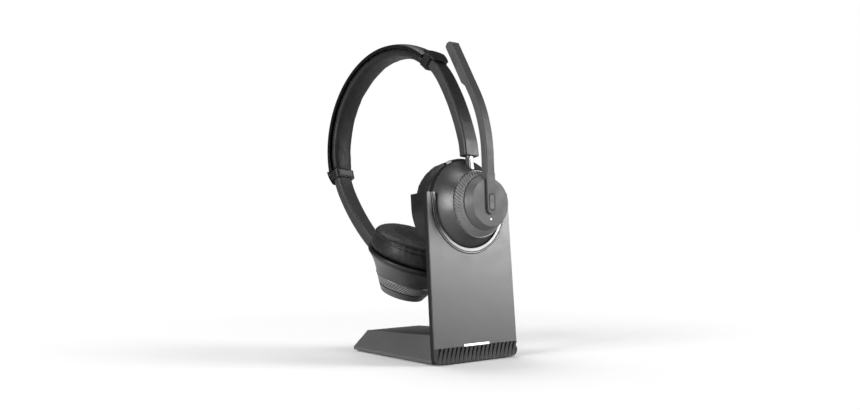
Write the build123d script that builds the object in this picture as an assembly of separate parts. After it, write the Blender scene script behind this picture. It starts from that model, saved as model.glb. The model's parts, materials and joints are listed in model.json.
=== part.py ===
from build123d import *
from math import cos, degrees, radians, sin, tan
import os

# Office headset with a microphone boom, parked in its charging stand.
# Millimetres. +X right, +Y to the rear, +Z up; the origin is the middle of the stand's underside.
#
# Three frames are used besides the stand's own:
#   upright  the leaning front of the stand: x right, y into the panel, z up along it
#   cup      one ear cup: z along its axis from the outer disc towards the ear, y towards the arm
#   band     the headband: x across the head (+x left ear), z up through the crown, y square to it

# ---------------------------------------------------------------- stand
foot_length = 103.0
foot_width = 79.0
foot_edge = 3.4                # height of the thin vertical edge
foot_top_front = (26.8, 19.8)  # half width and height of the flat top at the upright
foot_top_rear = (26.4, 15.0)
foot_wall = 2.0
mat_thickness = 1.0
base_thickness = 1.4
panel_front = -50.0            # y of the panel's bottom edge
lean = 4.8                     # degrees the upright leans back
upright_height = 123.9
bottom_width = 80.0
top_width = 78.5
panel_thickness = 1.2
upright_thickness = 4.7
skirt_height = 11.7
corner_radius = 5.0
light_width = 24.2
light_height = 1.5

# cradle: a U-shaped cut in the panel with a bowl behind it
notch_centre = 113.5           # height up the panel
notch_radius = 35.3
notch_flare = 1.2              # how far each wall opens by the top
lip_radius = 31.2
trim_width = 2.2
bowl_radius = 38.0
bowl_depth = 16.3              # behind the upright
pin_radius = 0.8
pin_spread = 3.0               # half distance between the two charging pins
pin_travel = 1.0

# ---------------------------------------------------------------- ear cup (r, z) along its axis
disc_radius = 17.3
hub_radius = 20.3
hub_depth = 5.2
ring_front = 6.0               # the knurled ring starts here
ring_back = 12.8
ring_radii = (20.9, 24.2)
neck_radius = 15.0
bell_front = 13.1
bell_radius = 24.5
rim_radius = 35.5
rim_front = 26.6
seam = 31.0                    # joint between the rim and the ear cushion
cushion_back = 49.6
wall = 1.7
running_gap = 0.05
fixed_gap = 0.02
pivot_radius = 3.5
stem_z = 21.4                  # the stem stands this far behind the outer disc
hinge_y = 24.5                 # height of the tilt pin above the cup's axis
hinge_pin_radius = 1.0
stem_width = 4.0
stem_depth = 5.2
journal_radius = 2.3
journal_bottom = 36.8          # the arm ends here and the steel bar shows below it
journal_top = 50.5
arm_crossing = 45.9            # where the stem's axis meets the middle of the arm
driver_radius = 14.0

# ---------------------------------------------------------------- microphone boom
boom_width = 7.8
boom_proud = 1.5               # the boom stands this far out from the disc
boom_thickness = 6.0
boom_bend_start = 35.0
boom_bend_radius = 105.0
boom_bend = 28.7               # degrees the boom turns in towards the mouth
boom_tip = 48.0                # straight length after the bend
capsule_extra = 2.0            # the capsule is this much thicker than the boom
grille_depth = 1.1             # of the microphone grille set in the side of the boom
button_length = 11.4
button_width = 4.6
button_clearance = 0.4         # all round the button
button_travel = 0.5

# ---------------------------------------------------------------- headband
crown_radius = 77.7
side_radius = 194.0            # flatter curve of the arms, from 90 degrees down
arm_inset = 0.9                # the arms run just under the shell
arm_thickness = 8.1
arm_width = 14.4
arm_top = 58.0                 # degrees from the crown
arm_joint = 107.8              # where the swivel journal crosses the arm
arm_bend_radius = 30.0         # the arm's last bend, into line with the stem
cover_end = 101.3
band_half_angle = 77.0
band_width = 24.0
pad_inner_radius = 66.0
collar_angle = 6.0
cant = 26.2                    # the stems lean in by this angle

# ---------------------------------------------------------------- parked posture
cup_height = 114.3             # of the docked cup's axis, up the panel
disc_ahead = 23.5              # the docked cup's disc stands this far in front of the panel
park_roll = 2.9                # the docked cup's turn in its cradle
park_boom = -1.2               # the boom's swing from the docked cup's own upright
park_tilt_right = 6.1
park_swivel = 3.8
park_tilt_left = -6.9
park_shift = 0.6               # the band sits a little further down the left arm than the right


# ---------------------------------------------------------------- frames
upright = Location((0, panel_front, 0), (-lean, 0, 0))
right_cup = (
    upright
    * Plane((0, -disc_ahead, cup_height), x_dir=(-1, 0, 0), z_dir=(0, 1, 0)).location
    * Rot(0, 0, park_roll)
)
arm_outer = crown_radius - arm_inset
arm_middle = arm_outer - arm_thickness / 2
side_centre = crown_radius - side_radius       # x of the left side arc's centre


def on_side(angle, radius):
    """Point of the left side arc: the angle is from the crown, the radius is at the crown's scale."""
    reach = radius + side_radius - crown_radius
    return Vector(side_centre + reach * sin(radians(angle)), 0, reach * cos(radians(angle)))


stem_along = Vector(sin(radians(cant)), 0, cos(radians(cant)))
pad_facing = Vector(-cos(radians(cant)), 0, sin(radians(cant)))
left_origin = on_side(arm_joint, arm_middle) - stem_along * arm_crossing - pad_facing * stem_z
left_in_band = Plane(left_origin, x_dir=(0, -1, 0), z_dir=pad_facing).location
half_turn = Rot(0, 0, 180)


def about_stem(angle):
    return Pos(0, 0, stem_z) * Rot(0, angle, 0) * Pos(0, 0, -stem_z)


def about_hinge(angle):
    return Pos(0, hinge_y, stem_z) * Rot(angle, 0, 0) * Pos(0, -hinge_y, -stem_z)


right_stem = right_cup * about_hinge(park_tilt_right)
boom = right_cup * Rot(0, 0, park_boom)
arms = right_stem * about_stem(park_swivel) * (half_turn * left_in_band).inverse()
right_arm = arms * half_turn
left_arm = arms
left_stem = arms * left_in_band
left_cup = left_stem * about_hinge(park_tilt_left)
band = arms * Rot(0, park_shift, 0)


# ---------------------------------------------------------------- shape helpers
def turned(*points):
    """Solid of revolution about Z from (radius, z) points."""
    return revolve(Plane.XZ * make_face(Polyline(*points, close=True)), Axis.Z)


def block(x, y, z):
    """Box from three (low, high) pairs."""
    size = (x[1] - x[0], y[1] - y[0], z[1] - z[0])
    middle = ((x[0] + x[1]) / 2, (y[0] + y[1]) / 2, (z[0] + z[1]) / 2)
    return Pos(*middle) * Box(*size)


def rod(radius, start, end):
    """Round rod between two points."""
    start, end = Vector(*start), Vector(*end)
    along = end - start
    return Plane(start, z_dir=along).location * Cylinder(
        radius, along.length, align=(Align.CENTER, Align.CENTER, Align.MIN)
    )


def swept(section, start, end, centre=0.0):
    """Sweep a (y, radius) section about the band's y axis between two angles from the crown."""
    axis = Axis((centre, 0, 0), (0, 1, 0))
    face = Plane((centre, 0, 0), x_dir=(0, 1, 0), z_dir=(1, 0, 0)) * section
    return revolve(face.rotate(axis, start), axis, end - start)


def upright_outline(low, high):
    """Front outline of the upright between two heights, with both lower corners left square."""
    slope = (top_width - bottom_width) / 2 / upright_height
    low_half = bottom_width / 2 + slope * low
    high_half = bottom_width / 2 + slope * high
    return Polyline(
        (-low_half, low), (low_half, low), (high_half, high), (-high_half, high), close=True
    )


def upright_slab(outline, front, back):
    """Extrude an outline drawn on the panel from one depth to another."""
    face = Plane((0, front, 0), x_dir=(1, 0, 0), z_dir=(0, -1, 0)) * make_face(outline)
    return extrude(face, back - front, dir=(0, 1, 0))


def u_outline(radius, centre, flare=0.0, top=upright_height):
    """U shape round the docked cup, open end at the top."""
    return [
        Line((-radius - flare, top), (-radius, centre)),
        ThreePointArc((-radius, centre), (0, centre - radius), (radius, centre)),
        Line((radius, centre), (radius + flare, top)),
        Line((radius + flare, top), (-radius - flare, top)),
    ]


# ---------------------------------------------------------------- ear cup parts, in the cup frame
def bell_profile(offset=0.0):
    """Outer curve of the bell from the knurled ring to the rim."""
    return ThreePointArc(
        (bell_radius + offset, bell_front),
        (28.9 + offset, 21.3),
        (rim_radius - 0.5 + offset, 28.4),
    )


def bell_envelope(offset=0.0, back=seam):
    """Everything inside the bell's outer surface, pushed out by an offset."""
    outline = [
        Line((0, bell_front), (bell_radius + offset, bell_front)),
        bell_profile(offset),
        Line((rim_radius - 0.5 + offset, 28.4), (rim_radius + offset, 29.4)),
        Line((rim_radius + offset, 29.4), (rim_radius + offset, back)),
        Line((rim_radius + offset, back), (0, back)),
        Line((0, back), (0, bell_front)),
    ]
    return revolve(Plane.XZ * make_face(outline), Axis.Z)


screw_circle = 27.0
screw_radius = 0.8
screw_angles = (30, 150, 270)


def housing():
    """Bell-shaped outer shell with a neck for the hub, lugs for the tilt pin and screw bosses."""
    envelope = bell_envelope()
    front = envelope & block((-40, 40), (-40, 40), (0, rim_front))
    cavity = bell_envelope(-wall) & block((-40, 40), (-40, 40), (bell_front + wall, seam))
    neck = turned(
        (pivot_radius + running_gap, ring_front),
        (neck_radius, ring_front),
        (neck_radius, bell_front + wall / 2),
        (neck_radius - wall, bell_front + wall / 2),
        (neck_radius - wall, ring_front + wall),
        (pivot_radius + running_gap, ring_front + wall),
    )
    bore = Cylinder(neck_radius - wall, 40)
    lug_side = stem_width / 2 + 0.4
    lugs = block((-lug_side - 2.8, lug_side + 2.8), (hinge_y - 2.6, 40), (stem_z - 2.6, stem_z + 2.6))
    bosses = [
        Pos(0, 0, (22 + rim_front) / 2)
        * PolarLocations(screw_circle, 1, start_angle=angle).locations[0]
        * Cylinder(2.0, rim_front - 22)
        for angle in screw_angles
    ]
    body = front - cavity - bore
    body += neck
    body += (lugs & envelope & block((-40, 40), (-40, 40), (0, rim_front)))
    for boss in bosses:
        body += boss & envelope
    slot = block((-lug_side, lug_side), (hinge_y - 3.6, 40), (stem_z - 5.6, stem_z + 4.6))
    body -= slot
    body -= rod(hinge_pin_radius + fixed_gap, (-20, hinge_y, stem_z), (20, hinge_y, stem_z)) & block(
        (-5.2, 5.2), (0, 40), (0, 40)
    )
    for angle in screw_angles:
        hole = Rot(0, 0, angle) * Pos(screw_circle, 0, rim_front) * Cylinder(screw_radius + fixed_gap, 9)
        body -= hole
    return body


def baffle():
    """Rim band and speaker plate in one moulding."""
    rim = bell_envelope() & block((-40, 40), (-40, 40), (rim_front + 0.1, seam))
    hollow = bell_envelope(-wall) & block((-40, 40), (-40, 40), (0, seam - 1.5))
    plate = rim - hollow - Cylinder(driver_radius + running_gap, 80)
    for angle in screw_angles:
        spot = Rot(0, 0, angle) * Pos(screw_circle, 0, 0)
        pillar = spot * Pos(0, 0, (rim_front + 0.1 + seam - 1.5) / 2) * Cylinder(
            2.0, seam - 1.6 - rim_front
        )
        plate += pillar
        plate -= spot * Cylinder(screw_radius + fixed_gap, 80)
        plate -= spot * Pos(0, 0, seam) * Cylinder(1.5, 1.6)
    return plate


def baffle_screws():
    """Three screws that hold the baffle to the housing."""
    screw = rod(screw_radius, (0, 0, rim_front - 4), (0, 0, seam - 0.8)) + rod(
        1.4, (0, 0, seam - 0.8), (0, 0, seam - 0.1)
    )
    return [Rot(0, 0, angle) * Pos(screw_circle, 0, 0) * screw for angle in screw_angles]


def cushion():
    """Ear cushion as a plain rounded puck."""
    puck = Pos(0, 0, (seam + 0.2 + cushion_back) / 2) * Cylinder(
        rim_radius - 0.3, cushion_back - seam - 0.2
    )
    puck = fillet(puck.edges().group_by(Axis.Z)[-1], 6)
    return fillet(puck.edges().group_by(Axis.Z)[0], 1.2)


def driver():
    """Speaker capsule: basket and magnet."""
    return turned((0, 23.5), (8, 23.5), (8, 28.2), (driver_radius, 28.2), (driver_radius, seam), (0, seam))


def hinge_pin():
    return rod(hinge_pin_radius, (-5.1, hinge_y, stem_z), (5.1, hinge_y, stem_z))


def stem():
    """Steel stem: an eye on the tilt pin, a square bar and a round journal that turns in the arm."""
    bar = block(
        (-stem_width / 2, stem_width / 2),
        (hinge_y, journal_bottom - 0.5),
        (stem_z - stem_depth / 2, stem_z + stem_depth / 2),
    )
    bar = fillet(bar.edges().filter_by(Axis.Y), 0.7)
    eye = rod(stem_depth / 2, (-stem_width / 2, hinge_y, stem_z), (stem_width / 2, hinge_y, stem_z))
    journal = rod(journal_radius, (0, journal_bottom - 1.5, stem_z), (0, journal_top, stem_z))
    hole = rod(hinge_pin_radius + running_gap, (-9, hinge_y, stem_z), (9, hinge_y, stem_z))
    return bar + eye + journal - hole


def knurled_ring():
    """Conical ring between hub and bell, hollow from behind."""
    bore = neck_radius + running_gap
    return turned(
        (bore, ring_front),
        (ring_radii[0], ring_front),
        (ring_radii[1], ring_back),
        (ring_radii[1] - 1.8, ring_back),
        (ring_radii[0] - 1.4, ring_front + 1.6),
        (bore + 1.4, ring_front + 1.6),
        (bore + 1.4, ring_back),
        (bore, ring_back),
    )


def hub_envelope():
    return turned((0, 0), (disc_radius, 0), (hub_radius, hub_depth), (0, hub_depth))


def hub_cap():
    """Disc and sloping side with a hollow pivot tube behind."""
    skirt_gap = 1.5
    cap = hub_envelope() - turned(
        (0, skirt_gap),
        (disc_radius - 1.0, skirt_gap),
        (hub_radius - 1.6, hub_depth),
        (0, hub_depth),
    )
    tube = rod(pivot_radius, (0, 0, 1.0), (0, 0, 11.0)) - rod(2.0, (0, 0, 1.0), (0, 0, 11.0))
    return cap + tube


def retainer():
    """Clip on the pivot tube, behind the neck."""
    back = ring_front + wall
    ring = rod(5.6, (0, 0, back + 0.1), (0, 0, back + 1.3))
    return ring - rod(pivot_radius + fixed_gap, (0, 0, back), (0, 0, back + 2))


# ---------------------------------------------------------------- right cup only
switch_angle = 29.0
switch_z = 28.6
switch_travel = 3.0


def at_rim(angle):
    """Frame on the rim: x along the rim, y outwards, turned from the arm side by an angle."""
    return Rot(0, 0, -angle)


knob_end = -0.7


def switch_slot():
    return at_rim(switch_angle) * block(
        (-4.0, knob_end + switch_travel + 0.1),
        (rim_radius - 1.6, rim_radius + 3),
        (switch_z - 1.3, switch_z + 1.3),
    )


def power_switch():
    """Slider, parked at one end of its slot."""
    knob = block((-3.9, knob_end), (rim_radius - 1.5, rim_radius + 0.3), (switch_z - 1.2, switch_z + 1.2))
    return at_rim(switch_angle) * fillet(knob.edges().group_by(Axis.Y)[-1], 0.3)


port_angle = 225.0
port_z = 29.0


def usb_shell(width, height, depth):
    """Charging socket: a rounded metal tube with a tongue, opening towards +Y."""
    def pill(w, h, length):
        face = Plane.XZ * SlotOverall(w, h)
        return extrude(face, length, dir=(0, 1, 0))

    tube = pill(width, height, depth) - Pos(0, 1, 0) * pill(width - 0.7, height - 0.7, depth)
    tongue = block((-width / 2 + 1.4, width / 2 - 1.4), (0.9, depth - 1), (-0.35, 0.35))
    return tube + tongue


def cup_port():
    return at_rim(port_angle) * Pos(0, rim_radius - 9.2, port_z) * usb_shell(8.9, 3.2, 7.4)


def charge_contacts():
    """Two gilt pads under the rim that meet the charging pins."""
    pads = block((-4.6, 4.6), (-rim_radius + 0.1, -rim_radius + 1.1), (28.9, 30.7))
    gap = block((-1.4, 1.4), (-40, 0), (20, 40))
    return Rot(0, 0, -park_roll) * (pads - gap)


def main_board():
    board = rod(19.0, (0, 0, 16.2), (0, 0, 17.2)) - rod(5.0, (0, 0, 16), (0, 0, 18))
    chips = [block((6, 13), (-4, 3), (17.2, 18.4)), block((-12, -7), (-8, -3), (17.2, 18.2))]
    return board + chips


def battery():
    cell = block((-14, 14), (-15, 8), (16, 21.5))
    return fillet(cell.edges().filter_by(Axis.Y), 1.2)


def right_baffle():
    part = baffle() - switch_slot()
    part -= at_rim(port_angle) * block((-4.55, 4.55), (20, 40), (port_z - 1.7, port_z + 1.7))
    part -= Rot(0, 0, -park_roll) * block((-4.7, 4.7), (-36, -rim_radius + 1.15), (28.8, 30.8))
    return part


# ---------------------------------------------------------------- boom, in the right cup's frame
boom_front = -boom_proud


def along_boom(distance, depth):
    """(y, z) of a point past the bend: distance along the boom and depth behind its front face."""
    turn = radians(boom_bend)
    y = boom_bend_start + boom_bend_radius * sin(turn) + distance * cos(turn) - depth * sin(turn)
    z = boom_front + boom_bend_radius * (1 - cos(turn)) + distance * sin(turn) + depth * cos(turn)
    return (y, z)


def bend_point(angle, depth):
    """(y, z) of a point in the bend."""
    turn = radians(angle)
    reach = boom_bend_radius - depth
    centre = boom_front + boom_bend_radius
    return (boom_bend_start + reach * sin(turn), centre - reach * cos(turn))


tip_frame = Location((0, *along_boom(0, 0)), (boom_bend, 0, 0))  # y along the boom, z through it
thick = boom_thickness + capsule_extra


def boom_side():
    """Side view of the boom in the cup's y-z plane."""
    back = boom_front + boom_thickness
    root = disc_radius - 3
    outline = [
        Line((root, boom_front), (boom_bend_start, boom_front)),
        ThreePointArc(
            (boom_bend_start, boom_front), bend_point(boom_bend / 2, 0), bend_point(boom_bend, 0)
        ),
        Line(along_boom(0, 0), along_boom(boom_tip - 3, 0)),
        ThreePointArc(
            along_boom(boom_tip - 3, 0), along_boom(boom_tip, thick / 2), along_boom(boom_tip - 2, thick)
        ),
        Line(along_boom(boom_tip - 2, thick), along_boom(11.5, thick)),
        Line(along_boom(11.5, thick), along_boom(7, boom_thickness)),
        Line(along_boom(7, boom_thickness), along_boom(0, boom_thickness)),
        ThreePointArc(
            bend_point(boom_bend, boom_thickness),
            bend_point(boom_bend / 2, boom_thickness),
            bend_point(0, boom_thickness),
        ),
        Line((boom_bend_start, back), (root, back)),
        Line((root, back), (root, boom_front)),
    ]
    plane = Plane((-boom_width / 2, 0, 0), x_dir=(0, 1, 0), z_dir=(1, 0, 0))
    return extrude(plane * make_face(outline), boom_width)


root_end = -4.9


def boom_arm():
    """Curved boom with a flat root that lies on the disc round the mute button."""
    blade = fillet(boom_side().edges().filter_by(GeomType.LINE, reverse=False).filter_by(
        Axis.X, reverse=True), 0.9)
    root = block(
        (-boom_width / 2, boom_width / 2), (root_end, disc_radius + 4), (boom_front, 0)
    ) + rod(boom_width / 2, (0, root_end, boom_front), (0, root_end, 0))
    solid = blade + root - hub_envelope()
    pocket = extrude(button_outline(button_clearance), 8, both=True)
    grille = tip_frame * grille_slab(boom_width / 2 - grille_depth, boom_width / 2 + 2, 0)
    chamber = tip_frame * block((-1.8, boom_width / 2 - grille_depth), (26, 34.5), (2.4, 5.6))
    port = tip_frame * rod(0.5, (0, 30, -1), (0, 30, 2.5))
    return solid - pocket - grille - chamber - port


def grille_slab(low, high, inset):
    """Rounded oblong in the side face of the boom's end, from low to high across the boom."""
    slab = block((low, high), (25 + inset, 35.5 - inset), (2.2 + inset, 5.8 - inset))
    return fillet(slab.edges().filter_by(Axis.X), 1.5)


def mic_grille():
    return tip_frame * grille_slab(boom_width / 2 - grille_depth + 0.05, boom_width / 2 - 0.25, 0.05)


def boom_microphones():
    """Two capsules side by side behind the grille."""
    return [tip_frame * rod(1.3, (-1.6, y, 4.0), (1.9, y, 4.0)) for y in (28.0, 32.5)]


def button_outline(margin):
    return SlotOverall(button_length + 2 * margin, button_width + 2 * margin, rotation=90)


def mute_button():
    """Pill-shaped button in the root of the boom."""
    pill = extrude(button_outline(0), 1.8)
    pill = fillet(pill.edges().group_by(Axis.Z)[0], 0.35)
    button = Pos(0, 0, boom_front - 0.35) * pill
    for x, y in ((0, 0.9), (0, -0.9), (0.8, 0), (-0.8, 0)):
        button -= Pos(x, y, boom_front) * Cylinder(0.2, 1.6)
    return button


led_y = -12.2


def status_led():
    return rod(0.55, (0, led_y, -0.12), (0, led_y, 1.4))


def right_hub():
    pocket = extrude(button_outline(button_clearance), button_travel + 0.4)
    return hub_cap() - pocket - rod(0.57, (0, led_y, -1), (0, led_y, 3))


# ---------------------------------------------------------------- headband parts, in the band frame
def arm_section(shift=0.0):
    """Rounded section of an arm; the shift moves it onto the flatter side arc."""
    middle = arm_middle + shift
    face = Pos(0, middle) * Rectangle(arm_width, arm_thickness)
    corners = face.vertices().group_by(Axis.Y)
    face = fillet(corners[-1], 1.6)
    return fillet(face.vertices().group_by(Axis.Y)[0], 2.6)


cover_half = arm_width / 2 - 1.7
cover_depth = 0.8


def cover_shape(gap=0.0):
    """Strip on the outer face of the left arm, with a rounded lower end; a gap makes its pocket."""
    extra = side_radius - crown_radius
    half = cover_half + gap
    bottom = arm_outer - cover_depth - gap
    top = arm_outer + 10 * gap
    section = Pos(0, (bottom + top) / 2) * Rectangle(2 * half, top - bottom)
    side_section = Pos(0, extra) * section
    strip = swept(section, arm_top + 2 - gap, 90) + swept(side_section, 90, cover_end, side_centre)
    toe = rod(half, on_side(cover_end, arm_outer - 3), on_side(cover_end, arm_outer + 3))
    toe_angle = 6
    return strip + (toe & swept(side_section, cover_end - 1, cover_end + toe_angle, side_centre))


def arm():
    """Left arm: slides in the band on the crown's circle, and holds the swivel journal below."""
    extra = side_radius - crown_radius
    bend = cant - (arm_joint - 90)
    lead = arm_bend_radius * tan(radians(bend / 2))
    bend_start = arm_joint - degrees(lead / (arm_middle + extra))
    body = swept(arm_section(), arm_top, 90) + swept(arm_section(extra), 90, bend_start, side_centre)
    body += bent_tail(bend_start, bend, arm_crossing - lead - journal_bottom + 0.2)
    body -= cover_shape(0.05)
    socket = left_in_band * rod(
        journal_radius + running_gap, (0, journal_bottom - 2, stem_z), (0, journal_top + 0.3, stem_z)
    )
    return body - socket


def bent_tail(start, bend, straight):
    """The short tight bend below the side arc and the straight end along the stem's line."""
    middle = on_side(start, arm_middle)
    inwards = Vector(-sin(radians(start)), 0, -cos(radians(start)))
    centre = middle + inwards * arm_bend_radius
    along = Vector(cos(radians(start)), 0, -sin(radians(start)))
    face = Plane(middle, x_dir=(0, 1, 0), z_dir=along) * (Pos(0, -arm_middle) * arm_section())
    hinge_line = Axis(centre, (0, 1, 0))
    return revolve(face, hinge_line, bend) + extrude(face.rotate(hinge_line, bend), straight)


shell_edge = band_width / 2 - 0.6
shell_inner = arm_outer + 0.15


def shell_section():
    """Crowned strip with short turned-in edges."""
    top = crown_radius + 0.2
    edge = top - 2.2
    lip = edge - 2.6
    outline = [
        ThreePointArc((-shell_edge, edge), (0, top), (shell_edge, edge)),
        Line((shell_edge, edge), (shell_edge, lip)),
        Line((shell_edge, lip), (shell_edge - 1.2, lip)),
        Line((shell_edge - 1.2, lip), (shell_edge - 1.2, edge - 0.9)),
        ThreePointArc(
            (shell_edge - 1.2, edge - 0.9), (0, shell_inner), (-shell_edge + 1.2, edge - 0.9)
        ),
        Line((-shell_edge + 1.2, edge - 0.9), (-shell_edge + 1.2, lip)),
        Line((-shell_edge + 1.2, lip), (-shell_edge, lip)),
        Line((-shell_edge, lip), (-shell_edge, edge)),
    ]
    return make_face(outline)


def channel(width, low, high, start, end):
    return swept(Pos(0, (low + high) / 2) * Rectangle(width, high - low), start, end)


pad_end = band_half_angle - collar_angle
channel_start = 38.0
arm_low = arm_outer - arm_thickness


def channels(gap):
    """Room for both arms inside the band."""
    width = arm_width + 2 * gap
    left = channel(width, arm_low - gap, arm_outer + gap, channel_start, band_half_angle + 2)
    return left + half_turn * left


def headband_shell():
    solid = swept(shell_section(), -pad_end, pad_end)
    return solid - channels(0.1)


spring_low = pad_inner_radius + 1.6
spring_high = spring_low + 0.5


def headband_spring():
    return channel(11, spring_low, spring_high, -pad_end + 1, pad_end - 1)


def headband_cushion():
    """Long pad under the shell, crowned towards the head."""
    half = shell_edge - 1.5
    wide = band_width / 2
    low = pad_inner_radius
    side = low + 2.4
    ledge = crown_radius - 5.4
    top = crown_radius - 3.9
    outline = [
        Line((-half, top), (half, top)),
        Line((half, top), (half, ledge + 0.1)),
        Line((half, ledge + 0.1), (wide, ledge)),
        Line((wide, ledge), (wide - 1.0, side)),
        ThreePointArc((wide - 1.0, side), (0, low), (-wide + 1.0, side)),
        Line((-wide + 1.0, side), (-wide, ledge)),
        Line((-wide, ledge), (-half, ledge + 0.1)),
        Line((-half, ledge + 0.1), (-half, top)),
    ]
    pad = swept(make_face(outline), -pad_end + 0.3, pad_end - 0.3)
    pad -= channels(0.3)
    return pad - channel(11.4, spring_low - 0.2, spring_high + 0.2, -pad_end, pad_end)


def collar():
    """Sleeve at the left end of the band that guides the arm."""
    low = pad_inner_radius + 1.0
    high = crown_radius + 0.9
    face = Pos(0, (low + high) / 2) * Rectangle(arm_width + 4.6, high - low)
    face = fillet(face.vertices(), 2.4)
    sleeve = swept(face, pad_end + 0.1, band_half_angle)
    sleeve -= channel(arm_width + 0.1, arm_low - 0.05, arm_outer + 0.05, pad_end - 1, band_half_angle + 1)
    return sleeve - plate_shape(0.04)


def plate_shape(gap=0.0):
    """Inset plate on the inner face of the collar."""
    low = pad_inner_radius + 0.8
    return channel(
        13.0 + 2 * gap, low, low + 0.9 + gap, pad_end + 1.3 - gap / 2, band_half_angle - 1.2 + gap / 2
    )


# ---------------------------------------------------------------- stand parts
def foot_section(y, inset, floor):
    """Trapezoid across the foot; the top falls slightly towards the rear."""
    share = (y - panel_front) / foot_length
    top_half = foot_top_front[0] + (foot_top_rear[0] - foot_top_front[0]) * share - inset
    top = foot_top_front[1] + (foot_top_rear[1] - foot_top_front[1]) * share - inset
    half = foot_width / 2 - inset
    edge = foot_edge - inset / 2
    outline = Polyline(
        (-half, floor), (half, floor), (half, edge), (top_half, top), (-top_half, top), (-half, edge),
        close=True,
    )
    return Plane((0, y, 0), x_dir=(1, 0, 0), z_dir=(0, -1, 0)) * make_face(outline)


def behind_upright(gap):
    """Everything behind the rear face of the upright."""
    return upright * block((-60, 60), (upright_thickness + gap, 200), (-40, 200))


rear_y = panel_front + foot_length


def foot_shell():
    outer = loft([foot_section(panel_front, 0, mat_thickness), foot_section(rear_y, 0, mat_thickness)])
    outer = fillet(outer.edges().group_by(Axis.Y)[-1].filter_by(Axis.X, reverse=True), 0.8)
    inner = loft([
        foot_section(panel_front - 5, foot_wall, 0),
        foot_section(rear_y - foot_wall, foot_wall, 0),
    ])
    shell = (outer & behind_upright(0.05)) - (inner & behind_upright(foot_wall))
    socket = dock_socket_frame * extrude(Plane.XZ * SlotOverall(9.4, 3.7), 30, dir=(0, 1, 0))
    for screw in upright_screw_paths(1.3):
        shell -= screw
    return shell - socket


def upright_screw_paths(radius):
    return [upright * rod(radius, (x, 1.6, 9), (x, 9.0, 9)) for x in (-14, 14)]


dock_socket_frame = Location((0, rear_y - 7.4, 8.0))


def dock_socket():
    return dock_socket_frame * Pos(0, -0.2, 0) * usb_shell(8.9, 3.2, 7.4)


def foot_half(inset):
    return foot_width / 2 - inset


def base_plate():
    plate = block(
        (-foot_half(foot_wall + 0.15), foot_half(foot_wall + 0.15)),
        (panel_front, rear_y - foot_wall - 0.2),
        (mat_thickness, mat_thickness + base_thickness),
    )
    plate = plate & behind_upright(foot_wall + 0.1)
    for x, y in screw_spots:
        plate -= Pos(x, y, 0) * Cylinder(1.3, 20)
    return plate


screw_spots = [(x, y) for x in (-31, 31) for y in (-36, 42)]


def foot_screws():
    """Screws up through the base plate into the foot, and two into the upright."""
    screw = rod(1.25, (0, 0, mat_thickness + 0.05), (0, 0, mat_thickness + base_thickness + 3.4))
    screws = [Pos(x, y, 0) * screw for x, y in screw_spots]
    return screws


def rubber_mat():
    mat = block((-foot_half(3), foot_half(3)), (panel_front + 6, rear_y - 3), (0, mat_thickness))
    return fillet(mat.edges().filter_by(Axis.Z), 4)


def ballast():
    plate = block((-20, 20), (-30, 24), (mat_thickness + base_thickness, 11.0))
    return chamfer(plate.edges().group_by(Axis.Z)[-1], 0.6)


def dock_board():
    board = block((-18, 18), (28, 47), (5.4, 6.4))
    chips = [block((-12, -5), (31, 38), (6.4, 7.6)), block((4, 9), (33, 37), (6.4, 7.4))]
    return board + chips


def cup_room():
    """Space the docked cup needs: its own outline plus the path it lifts out along."""
    gap = 0.5
    axis_line = Pos(0, -disc_ahead, cup_height)
    turn_in = Plane((0, 0, 0), x_dir=(1, 0, 0), z_dir=(0, 1, 0)).location
    still = axis_line * turn_in * (bell_envelope(gap, seam) + turned(
        (0, seam), (rim_radius + gap, seam), (rim_radius + gap, 60), (0, 60)
    ))
    side = [
        Line((0, bell_front), (bell_radius + gap, bell_front)),
        bell_profile(gap),
        Line((rim_radius - 0.5 + gap, 28.4), (rim_radius + gap, 29.4)),
        Line((rim_radius + gap, 29.4), (rim_radius + gap, 60)),
        Line((rim_radius + gap, 60), (0, 60)),
        Line((0, 60), (0, bell_front)),
    ]
    half = extrude(make_face(side), 30)
    lifting = half + mirror(half, Plane.YZ)
    return still + axis_line * lifting


def u_slab(radius, centre, front, back, flare=0.0, top=upright_height):
    return upright_slab(u_outline(radius, centre, flare, top), front, back)


def front_panel():
    panel = upright_slab(upright_outline(skirt_height, upright_height), 0, panel_thickness)
    panel -= u_slab(notch_radius, notch_centre, -1, 2, notch_flare, upright_height)
    window = block(
        (-light_width / 2 - 0.1, light_width / 2 + 0.1), (-1, 2), (0, skirt_height + light_height)
    )
    return upright * (panel - window)


def light_bar():
    half = light_width / 2
    bar = block(
        (-half, half),
        (-0.05, panel_thickness - 0.05),
        (skirt_height + 0.05, skirt_height + light_height - 0.1),
    )
    return upright * bar


def lower_corners(slab):
    """Round the two lower corners of an upright slab."""
    return fillet(slab.edges().filter_by(Axis.Y).group_by(Axis.Z)[0], corner_radius)


rib_pitch = 4.0
rib_count = 20


def skirt():
    """Dark strip along the bottom with slanted grooves that fade out upwards."""
    slab = lower_corners(
        upright_slab(upright_outline(0.6, skirt_height - 0.1), -0.2, panel_thickness - 0.05)
    )
    for index in range(rib_count):
        x = (index - (rib_count - 1) / 2) * rib_pitch
        groove = Pos(x, -0.4, 4.6) * Rot(-6.5, 24, 0) * Box(1.5, 1.3, 16)
        slab -= groove
    return upright * slab


def rear_shell():
    """Plastic back of the upright, open for the cradle."""
    slab = upright_slab(upright_outline(0.6, upright_height), panel_thickness + 0.05, upright_thickness)
    slab = lower_corners(slab)
    slab -= u_slab(bowl_radius + 0.1, cup_height, 0, 6)
    slab -= boss_room(0.1)
    for x in (-14, 14):
        slab -= Pos(x, 3, 9) * Rot(90, 0, 0) * Cylinder(1.3, 10)
    return upright * slab


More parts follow.
